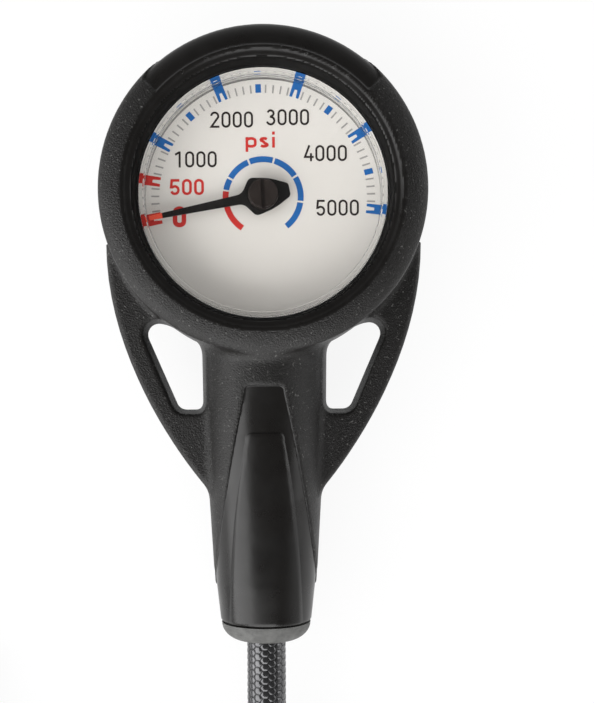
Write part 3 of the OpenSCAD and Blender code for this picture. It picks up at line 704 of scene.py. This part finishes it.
def resample(line, length_steps):
    """Points at these lengths along the line, and its whole length."""
    gaps = np.linalg.norm(np.diff(line, axis=0), axis=1)
    run = np.concatenate([[0], np.cumsum(gaps)])
    return np.stack([np.interp(length_steps, run, line[:, k]) for k in range(3)], 1), run[-1]


THREAD_R, THREAD_PITCH, THREAD_DEPTH = 5.556, 1.27, 0.68  # 7/16 inch, 20 threads an inch
HEX_HALF = 8.0  # half the hexagon's width across its flats
SHOULDER_R, NECK_R, BORE_R = 5.4, 4.3, 1.6
FITTING_START, HEX_START, HEX_END, THREAD_START, FITTING_END = 21, 23.2, 30, 31.9, 41.3
BORE_END = 26


def fitting_radius(z, a):
    """Outside radius at a height above the hose's end, at the angles a."""
    if z < HEX_START:
        return np.full(a.shape, SHOULDER_R)
    if z < HEX_END:
        flats = HEX_HALF / np.cos((a + np.pi / 6) % (np.pi / 3) - np.pi / 6)
        chamfer = HEX_HALF + 0.25 + 1.8 * min(z - HEX_START, HEX_END - z)
        return np.minimum(flats, chamfer)
    if z < THREAD_START:
        return np.full(a.shape, NECK_R)
    phase = (z / THREAD_PITCH - a / (2 * np.pi)) % 1
    valley = np.clip(1.35 - 3.4 * np.abs(phase - 0.5), 0, 1)
    taper = np.clip(max(32.5 - z, z - 40.7) / 0.6, 0, 1) * THREAD_DEPTH
    return THREAD_R - np.maximum(THREAD_DEPTH * valley, taper)


def make_fitting():
    """The hexagon and thread that screw into the first stage, at the hose's far end."""
    sides = 96
    a = 2 * np.pi * np.arange(sides) / sides
    heading = np.radians(COIL_END - 90)
    end = COIL_AT + COIL_R * unit(COIL_END) + (DROP_LENGTH + HOSE_D) * unit(COIL_END - 90)
    heights = [FITTING_START, HEX_START - 0.01, HEX_START,
               *np.linspace(HEX_START + 0.1, HEX_END - 0.1, 9), HEX_END - 0.001, HEX_END,
               THREAD_START - 0.01, *np.arange(THREAD_START, FITTING_END, 0.1), FITTING_END]
    rings = [(z, fitting_radius(z, a)) for z in heights]
    rings += [(z, np.full(sides, BORE_R)) for z in (FITTING_END, BORE_END)]
    points = np.vstack([np.stack([r * np.cos(a), r * np.sin(a), np.full(sides, z)], 1)
                        for z, r in rings])
    # the fitting's own +Z runs along the hose
    along, over, up = points[:, 2], points[:, 1], -points[:, 0]
    placed = np.stack([end[0] + along * np.cos(heading) - over * np.sin(heading),
                       end[1] + along * np.sin(heading) + over * np.cos(heading),
                       END_Z + up], 1)
    piece = add_mesh("threaded_fitting", placed, closed_tube(len(rings), sides), chrome,
                     "hose_end")
    piece.data.set_sharp_from_angle(angle=math.radians(32))
    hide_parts("stage_fitting")
    return piece


BRAID_COLUMNS, BRAID_PITCH = 16, 1.48
BRAID_TURN = 0.782  # turns the braid so that a column of beads faces up and to the left
BEAD_REACH = 2 / 3  # half a bead's width, in columns: it ends in points between its neighbours
BEAD_TOP, BEAD_DEPTH = 0.06, 0.16  # a bead's middle over the hose's radius, and its fall
NEAR_END = 62.0  # the stretch from the start that is meshed finely
NEAR_SIDES, NEAR_STEP = 128, 0.21
FAR_SIDES, FAR_STEP = 64, 0.5


def bead_distance(column, row):
    """Distance from the nearest bead's middle, 1 at its edge. The beads are hexagons."""
    nearest = None
    for shift in (0.0, 0.5):
        over = np.abs(2 * ((column / 2 + shift + 0.5) % 1 - 0.5))
        along = np.abs((row + shift + 0.5) % 1 - 0.5)
        distance = np.maximum(2 * along, over / BEAD_REACH + along)
        nearest = distance if nearest is None else np.minimum(nearest, distance)
    return nearest


def hose_rings(line, distances, sides):
    """Points of the beaded skin at these lengths, and the column and row of each."""
    centre, _ = resample(line, distances)
    ahead, _ = resample(line, distances + 0.2)
    behind, _ = resample(line, distances - 0.2)
    along = ahead - behind
    along /= np.linalg.norm(along, axis=1)[:, None]
    across = np.cross(along, [0, 0, 1.0])
    across /= np.linalg.norm(across, axis=1)[:, None]
    up = np.cross(across, along)
    share = np.arange(sides) / sides - 0.5  # the seam lies underneath
    a = 2 * np.pi * share
    column = np.broadcast_to(share * BRAID_COLUMNS + BRAID_TURN, (len(centre), sides))
    row = np.broadcast_to((distances / BRAID_PITCH)[:, None], column.shape)
    fall = BEAD_DEPTH * np.minimum(bead_distance(column, row), 1) ** 4
    radius = HOSE_D / 2 + BEAD_TOP - fall
    ring = (centre[:, None, :] + radius[..., None]
            * (np.sin(a)[None, :, None] * across[:, None, :]
               + np.cos(a)[None, :, None] * up[:, None, :]))
    return ring.reshape(-1, 3), column.ravel(), row.ravel()


def braid_material():
    """Glossy black beads in a honeycomb, laid out as bead_distance does."""
    made = Recipe("hose_braid", (0.10, 0.10, 0.103), 0.24, metallic=0.85, specular=0.6)
    column, row = made.attribute("column"), made.attribute("row")

    def off_middle(value):
        part = made.math("FRACT", value)
        return made.math("ABSOLUTE", made.math("SUBTRACT", part, 0.5))

    nearest = None
    for shift in (0.0, 0.5):
        pair = made.math("ADD", made.math("MULTIPLY", column, 0.5), shift + 0.5)
        over = made.math("MULTIPLY", off_middle(pair), 2.0)
        along = off_middle(made.math("ADD", row, shift + 0.5))
        side = made.math("ADD", made.math("DIVIDE", over, BEAD_REACH), along)
        distance = made.math("MAXIMUM", made.math("MULTIPLY", along, 2.0), side)
        nearest = distance if nearest is None else made.math("MINIMUM", nearest, distance)
    made.vary(3, (0.14, 0.14, 0.143), 0.6)
    # Near black where the beads meet: painted shade in the gaps of the braid.
    made.blend_color(made.ramp(nearest, 0, 1, 0.8, 1.0), (0.004, 0.004, 0.004))
    made.bump(made.noise(0.25, 2), 0.015)
    made.bump(made.ramp(nearest, 1, 0, 0.7, 1.05), 0.03)
    made.roughness = made.ramp(nearest, 0.17, 0.45, 0.6, 1.0)
    return made.done()


def make_hose():
    line = hose_line()
    _, total = resample(line, np.zeros(1))
    near = np.arange(0, NEAR_END, NEAR_STEP)
    far = np.linspace(near[-1] + 0.3, total, int((total - near[-1]) / FAR_STEP))
    near_points, near_columns, near_rows = hose_rings(line, near, NEAR_SIDES)
    far_points, far_columns, far_rows = hose_rings(line, far, FAR_SIDES)
    base, last = len(near_points), (len(near) - 1) * NEAR_SIDES
    faces = [tuple(q) for q in tube_quads(len(near), NEAR_SIDES).tolist()]
    faces += [tuple(q) for q in tube_quads(len(far), FAR_SIDES, base).tolist()]
    for k in range(FAR_SIDES):  # joins two near sides to each far side
        a, b, c = last + 2 * k, last + 2 * k + 1, last + (2 * k + 2) % NEAR_SIDES
        d, e = base + k, base + (k + 1) % FAR_SIDES
        faces += [(a, b, d), (b, c, e), (b, e, d)]
    faces.append(tuple(range(NEAR_SIDES))[::-1])
    end = base + (len(far) - 1) * FAR_SIDES
    faces.append(tuple(end + k for k in range(FAR_SIDES)))
    piece = add_mesh("braided_hose", np.vstack([near_points, far_points]), faces,
                     braid_material(), "hose_end")
    set_attribute(piece, "column", np.concatenate([near_columns, far_columns]))
    set_attribute(piece, "row", np.concatenate([near_rows, far_rows]))
    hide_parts("hose_tail", "hose_run", "hose_coil")
    make_fitting()


# ---------- dial print ----------

BLUE = (0.012, 0.125, 0.40)
RED = (0.60, 0.028, 0.022)
NUMERAL = (0.022, 0.014, 0.012)
TICK = (0.36, 0.34, 0.32)
ZERO_AT, PER_THOUSAND = 191.3, -39.62  # degrees
PRINT_LOW, PRINT_TOP = 0.004, 0.05  # the print's underside and top over the dial's face
TICK_R0, TICK_R1, TICK_WIDTH = 22.35, 24.1, 0.34
BAR_R0, BAR_R1, BAR_WIDTH = 22.4, 24.25, 1.2
FORK_SPLIT, FORK_R1, FORK_WIDTH = 24.05, 27.2, 2.05
BAND_R0, BAND_R1 = 7.45, 8.72  # the ring of arcs round the pointer
BLUE_BANDS = ((169, 152.5), (149.5, 113.5), (110.5, 75), (72, 33.5), (30.5, -6.5), (-9.5, -52))
RED_BAND = (236, 171.5)


def ink(name, color):
    made = Recipe(name, color, 0.5, specular=0.3)
    lighter = tuple(min(1, c * 1.12 + 0.006) for c in color)
    return made.vary(0.5, lighter, 0.5).done()


def slab(outline):
    """A thin closed plate on the dial's face: points and faces."""
    outline = np.asarray(outline, float)
    n = len(outline)
    points = [(*p, DIAL_Z + z) for z in (PRINT_LOW, PRINT_TOP) for p in outline]
    faces = [tuple(range(n))[::-1], tuple(range(n, 2 * n))]
    faces += [(i, (i + 1) % n, (i + 1) % n + n, i + n) for i in range(n)]
    return points, faces


def print_piece(name, slabs, material):
    """One piece of the print, from slabs of points and faces."""
    points, faces = [], []
    for some_points, some_faces in slabs:
        faces += [tuple(i + len(points) for i in f) for f in some_faces]
        points += some_points
    piece = add_mesh(name, points, faces, material, "gauge", smooth=False)
    return piece


def radial(angle, shape):
    """An outline from points (distance from the axis, distance to the left of the radius)."""
    out, over = unit(angle), unit(angle + 90)
    return [out * r + over * w for r, w in shape]


def bar(angle, r0, r1, width):
    half = width / 2
    return radial(angle, [(r0, -half), (r1, -half), (r1, half), (r0, half)])


def forked_bar(angle, width):
    """The bar at a main mark, whose inner end is forked into two prongs."""
    half, wider, gap, slit = width / 2, width / 2 * 1.05, width * 0.22, width * 0.14
    return radial(angle, [
        (TICK_R0, -half), (FORK_R1, -wider), (FORK_R1, wider), (TICK_R0, half),
        (TICK_R0, gap), (FORK_SPLIT, slit), (FORK_SPLIT, -slit), (TICK_R0, -gap)])


def band(start, end):
    """A stretch of the ring round the pointer, as an outline."""
    count = max(3, int(abs(end - start) / 3))
    return [*arc((0, 0), BAND_R1, start, end, count), *arc((0, 0), BAND_R0, end, start, count)]


GLYPHS = {  # strokes in a box 0.565 wide and 1 high, on the stroke's middle line
    "0": lambda t: [("closed", [*arc((0.2825, 0.72), 0.2825 - t, 0, 180, 12),
                                *arc((0.2825, 0.28), 0.2825 - t, 180, 360, 12)])],
    "1": lambda t: [("open", [(0.36, 0), (0.36, 1)]), ("open", [(0.08, 0.80), (0.37, 0.965)])],
    "2": lambda t: [("open", [*arc((0.2825, 0.725), 0.2825 - t, 175, -22, 14),
                              (0.07, t), (0.57, t)])],
    "3": lambda t: [("open", [*arc((0.27, 0.755), (0.25 - t, 0.245 - t), 165, -72, 12),
                              (0.27, 0.545)]),
                    ("open", [(0.22, 0.545),
                              *arc((0.2725, 0.295), (0.2925 - t, 0.295 - t), 80, -165, 16)])],
    "4": lambda t: [("open", [(0.33, 1), (0.055, 0.27), (0.60, 0.27)]),
                    ("open", [(0.43, 0.50), (0.43, 0)])],
    "5": lambda t: [("open", [(0.54, 1 - t), (0.115, 1 - t), (0.075, 0.50),
                              *arc((0.2825, 0.315), (0.2825 - t, 0.315 - t), 128, -160, 16)])],
    "p": lambda t: [("open", [(t, -0.38), (t, 1)]),
                    ("closed", [*arc((0.44, 0.66), (0.44 - t, 0.34 - t), 0, 180, 10),
                                *arc((0.44, 0.34), (0.44 - t, 0.34 - t), 180, 360, 10)])],
    "s": lambda t: [("open", [*arc((0.40, 0.735), (0.36 - t, 0.265 - t), 25, 250, 10),
                              *arc((0.40, 0.265), (0.38 - t, 0.265 - t), 70, -155, 10)])],
    "i": lambda t: [("open", [(0.12, 0), (0.12, 1)]), ("open", [(0.12, 1.22), (0.12, 1.50)])],
}


def ribbon(path, half, closed, top):
    """A stroke as a slab: a strip along the path, with mitred joints, as points and faces."""
    p = np.asarray(path, float)
    keep = [0] + [i for i in range(1, len(p)) if np.linalg.norm(p[i] - p[i - 1]) > 1e-4]
    p = p[keep]
    if closed and np.linalg.norm(p[0] - p[-1]) < 1e-4:
        p = p[:-1]
    before, after = np.roll(p, 1, 0), np.roll(p, -1, 0)
    if not closed:
        before[0], after[-1] = 2 * p[0] - p[1], 2 * p[-1] - p[-2]
    u = (p - before) / np.linalg.norm(p - before, axis=1)[:, None]
    v = (after - p) / np.linalg.norm(after - p, axis=1)[:, None]
    normal = np.stack([-(u + v)[:, 1], (u + v)[:, 0]], 1)
    normal /= np.linalg.norm(normal, axis=1)[:, None]
    reach = half / np.maximum(normal[:, 0] * -u[:, 1] + normal[:, 1] * u[:, 0], 0.45)
    left, right = p + normal * reach[:, None], p - normal * reach[:, None]
    n, count = len(p), len(p) if closed else len(p) - 1
    rows = [*[(*q, DIAL_Z + top) for q in left], *[(*q, DIAL_Z + top) for q in right],
            *[(*q, DIAL_Z + PRINT_LOW) for q in left],
            *[(*q, DIAL_Z + PRINT_LOW) for q in right]]
    faces = []
    for i in range(count):
        j = (i + 1) % n
        faces += [(i, n + i, n + j, j), (2 * n + i, 2 * n + j, 3 * n + j, 3 * n + i),
                  (i, j, 2 * n + j, 2 * n + i), (n + i, 3 * n + i, 3 * n + j, n + j)]
    if not closed:
        faces += [(0, 2 * n, 3 * n, n), (n - 1, 2 * n - 1, 4 * n - 1, 3 * n - 1)]
    return rows, faces


GLYPH_WIDTH = 0.565  # of its height
LAYER_UP = 0.01  # keeps the strokes of one letter off each other's plane


def lettering(text, centre, height, offsets, stroke, stretch=1.0):
    """The strokes of a word whose middle is at centre, as slabs. offsets place its letters."""
    half = stroke / 2 / height
    span = offsets[-1] + GLYPH_WIDTH * height * stretch
    out = []
    for letter, offset in zip(text, offsets):
        corner = np.array([centre[0] - span / 2 + offset, centre[1] - height / 2])
        for layer, (kind, path) in enumerate(GLYPHS[letter](half)):
            out.append(ribbon(corner + height * np.asarray(path) * (stretch, 1), stroke / 2,
                              kind == "closed", PRINT_TOP + LAYER_UP * layer))
    return out


NUMERAL_HEIGHT = 3.45
NUMERAL_OFFSETS = [2.42 * i for i in range(4)]


def make_dial_print():
    angles = {psi: ZERO_AT + PER_THOUSAND * psi / 1000 for psi in range(0, 5001, 100)}
    ticks = [slab(bar(a, TICK_R0, TICK_R1, TICK_WIDTH))
             for psi, a in angles.items() if psi % 500]
    print_piece("dial_ticks", ticks, ink("tick_ink", TICK))
    blue = [slab(bar(angles[psi], BAR_R0, BAR_R1, BAR_WIDTH))
            for psi in range(1500, 5000, 1000)]
    blue += [slab(forked_bar(angles[psi], FORK_WIDTH)) for psi in range(1000, 5001, 1000)]
    blue += [slab(band(*ends)) for ends in BLUE_BANDS]
    print_piece("dial_blue", blue, ink("blue_ink", BLUE))
    red = [slab(forked_bar(angles[0], 2.5)), slab(forked_bar(angles[500], FORK_WIDTH)),
           slab(band(*RED_BAND))]
    red += lettering("500", (-16.4, 2.2), NUMERAL_HEIGHT, [0, 2.6, 5.2], 0.56, 1.12)
    red += lettering("0", (-18.05, -4.2), 4.5, [0], 0.98, 1.22)
    red += lettering("psi", (-0.1, 11.7), 2.3, [0, 2.9, 5.75], 0.58, 1.25)
    print_piece("dial_red", red, ink("red_ink", RED))
    dark = []
    for word, centre in (("1000", (-14.55, 8.14)), ("2000", (-6.67, 16.64)),
                         ("3000", (5.4, 17.07)), ("4000", (13.48, 9.28)),
                         ("5000", (15.98, -2.48))):
        dark += lettering(word, centre, NUMERAL_HEIGHT, NUMERAL_OFFSETS, 0.44)
    print_piece("dial_numerals", dark, ink("numeral_ink", NUMERAL))


# ---------- lens, Bourdon tube and the frame's own pieces ----------

def dress(names, material):
    """Gives these CAD pieces a material."""
    for name in names.split():
        slots = nodes[name].data.materials
        slots.clear()
        slots.append(material)


def dial_material():
    made = Recipe("dial_paint", (0.77, 0.725, 0.675), 0.55, specular=0.25)
    made.vary(7, (0.80, 0.755, 0.705), 0.5)
    return made.bump(made.noise(0.5, 2), 0.006).done()


RED_TIP = 0.02195, 0.0220  # distances from the axis, in metres, where the pointer turns red


def pointer_material():
    made = Recipe("pointer_paint", (0.007, 0.006, 0.0055), 0.4, specular=0.3)
    parts = new_node(made.tree, "ShaderNodeSeparateXYZ")
    made.tree.links.new(made.place, parts.inputs[0])
    flat = made.math("SQRT", made.math(
        "ADD", made.math("POWER", parts.outputs[0], 2.0),
        made.math("POWER", parts.outputs[1], 2.0)))
    made.vary(1.2, (0.014, 0.012, 0.011), 0.6)
    made.blend_color(made.ramp(flat, 0, 1, *RED_TIP), (0.86, 0.085, 0.04))
    return made.bump(made.noise(0.6, 2), 0.01).done()


def lens_material():
    """Clear acrylic. It casts no shadow, so the lamps reach the dial under it."""
    made = Recipe("lens_clear", (0.985, 0.99, 0.99), 0.012, specular=0.5,
                  Transmission_Weight=1.0, IOR=1.49)
    made.vary(20, (0.96, 0.97, 0.97), 0.4)
    glass = made.done()
    tree = made.tree
    passed = new_node(tree, "ShaderNodeBsdfTransparent")
    passed.inputs["Color"].default_value = (0.985, 0.99, 0.99, 1)
    mix = new_node(tree, "ShaderNodeMixShader")
    tree.links.new(ray_share(tree, "Is Shadow Ray", "Is Diffuse Ray"), mix.inputs[0])
    tree.links.new(made.shader.outputs[0], mix.inputs[1])
    tree.links.new(passed.outputs[0], mix.inputs[2])
    tree.links.new(mix.outputs[0], made.output.inputs["Surface"])
    return glass


LENS_R, LENS_TOP = 26.25, 27.2  # the lens's disc and its top
LENS_THICK, SKIRT_IN = 2.2, 1.0  # the disc's thickness, and the step in to its skirt
FLANGE_R, FLANGE_THICK = 27.3, 1.15


def make_lens():
    """The lens: a thick disc with a stepped edge, on a skirt whose flange the ring holds down."""
    skirt_r, under, foot = LENS_R - SKIRT_IN, LENS_TOP - LENS_THICK, DIAL_Z + 0.02
    profile = [(0, under), (skirt_r - 0.3, under),
               *arc((skirt_r - 0.3, under - 0.3), 0.3, 90, 0, 5),
               (skirt_r, foot), (FLANGE_R, foot), (FLANGE_R, foot + FLANGE_THICK),
               (LENS_R, foot + FLANGE_THICK),
               *arc((LENS_R - 0.35, LENS_TOP - 0.6), 0.35, 0, 90, 7),
               (skirt_r + 0.12, LENS_TOP - 0.25), (skirt_r - 0.1, LENS_TOP), (0, LENS_TOP)]
    piece = lathe("lens_disc", profile, lens_material(), "gauge")
    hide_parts("lens")


TUBE_R, TUBE_Z = 21.5, 13.8  # the Bourdon tube's middle line
TUBE_FROM, TUBE_TO = 15, 257  # its free end and its end in the socket block, in degrees
TUBE_HALF_WIDTH, TUBE_HALF_HEIGHT = 0.85, 3.4


def make_bourdon_tube():
    """The flat spring tube."""
    straight = TUBE_HALF_HEIGHT - TUBE_HALF_WIDTH
    section = [*arc((TUBE_R, TUBE_Z + straight), TUBE_HALF_WIDTH, 0, 180, 10),
               *arc((TUBE_R, TUBE_Z - straight), TUBE_HALF_WIDTH, 180, 360, 10)]
    r, z = np.array(section).T
    turns = np.radians(np.linspace(TUBE_FROM, TUBE_TO, 122))
    points = np.concatenate([np.stack([r * np.cos(a), r * np.sin(a), z], 1) for a in turns])
    faces = [face[::-1] for face in closed_tube(len(turns), len(r))]
    piece = add_mesh("spring_tube", points, faces, brass)
    piece.data.set_sharp_from_angle(angle=math.radians(40))
    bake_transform(piece)
    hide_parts("bourdon_tube")


def tie_material():
    made = Recipe("tie_weave", (0.016, 0.016, 0.018), 0.75, specular=0.3,
                  Sheen_Weight=0.35)
    weave = new_node(made.tree, "ShaderNodeTexChecker")
    weave.inputs["Scale"].default_value = 1600
    made.tree.links.new(made.place, weave.inputs["Vector"])
    made.vary(1.5, (0.03, 0.03, 0.033), 0.7)
    return made.bump(weave.outputs["Fac"], 0.05).bump(made.noise(0.5), 0.05).done()


dress("end_collar", collar_rubber)
dress("socket_block tube_tip sector_gear pinion "
      "hairspring_stud lower_plate upper_plate", brass)
dress("tip_pin tip_link sector_arbor tail_rivet hairspring plate_pillars plate_screws "
      "movement_screws swivel_spool", steel)
dress("gauge_case retaining_ring swivel_nut hose_insert gauge_ferrule end_ferrule", chrome)
dress("lens_gasket spool_orings fitting_oring", black_rubber)
dress("blowout_plug", plug_plastic)
dress("dial", dial_material())
dress("pointer", pointer_material())
dress("pointer_cap", plain("cap_bronze", (0.018, 0.012, 0.010), (0.032, 0.022, 0.018), 0.42,
                           0.3, size=1.6))
dress("coil_tie", tie_material())

make_boot()
make_lens()
make_bourdon_tube()
make_hose()
make_dial_print()
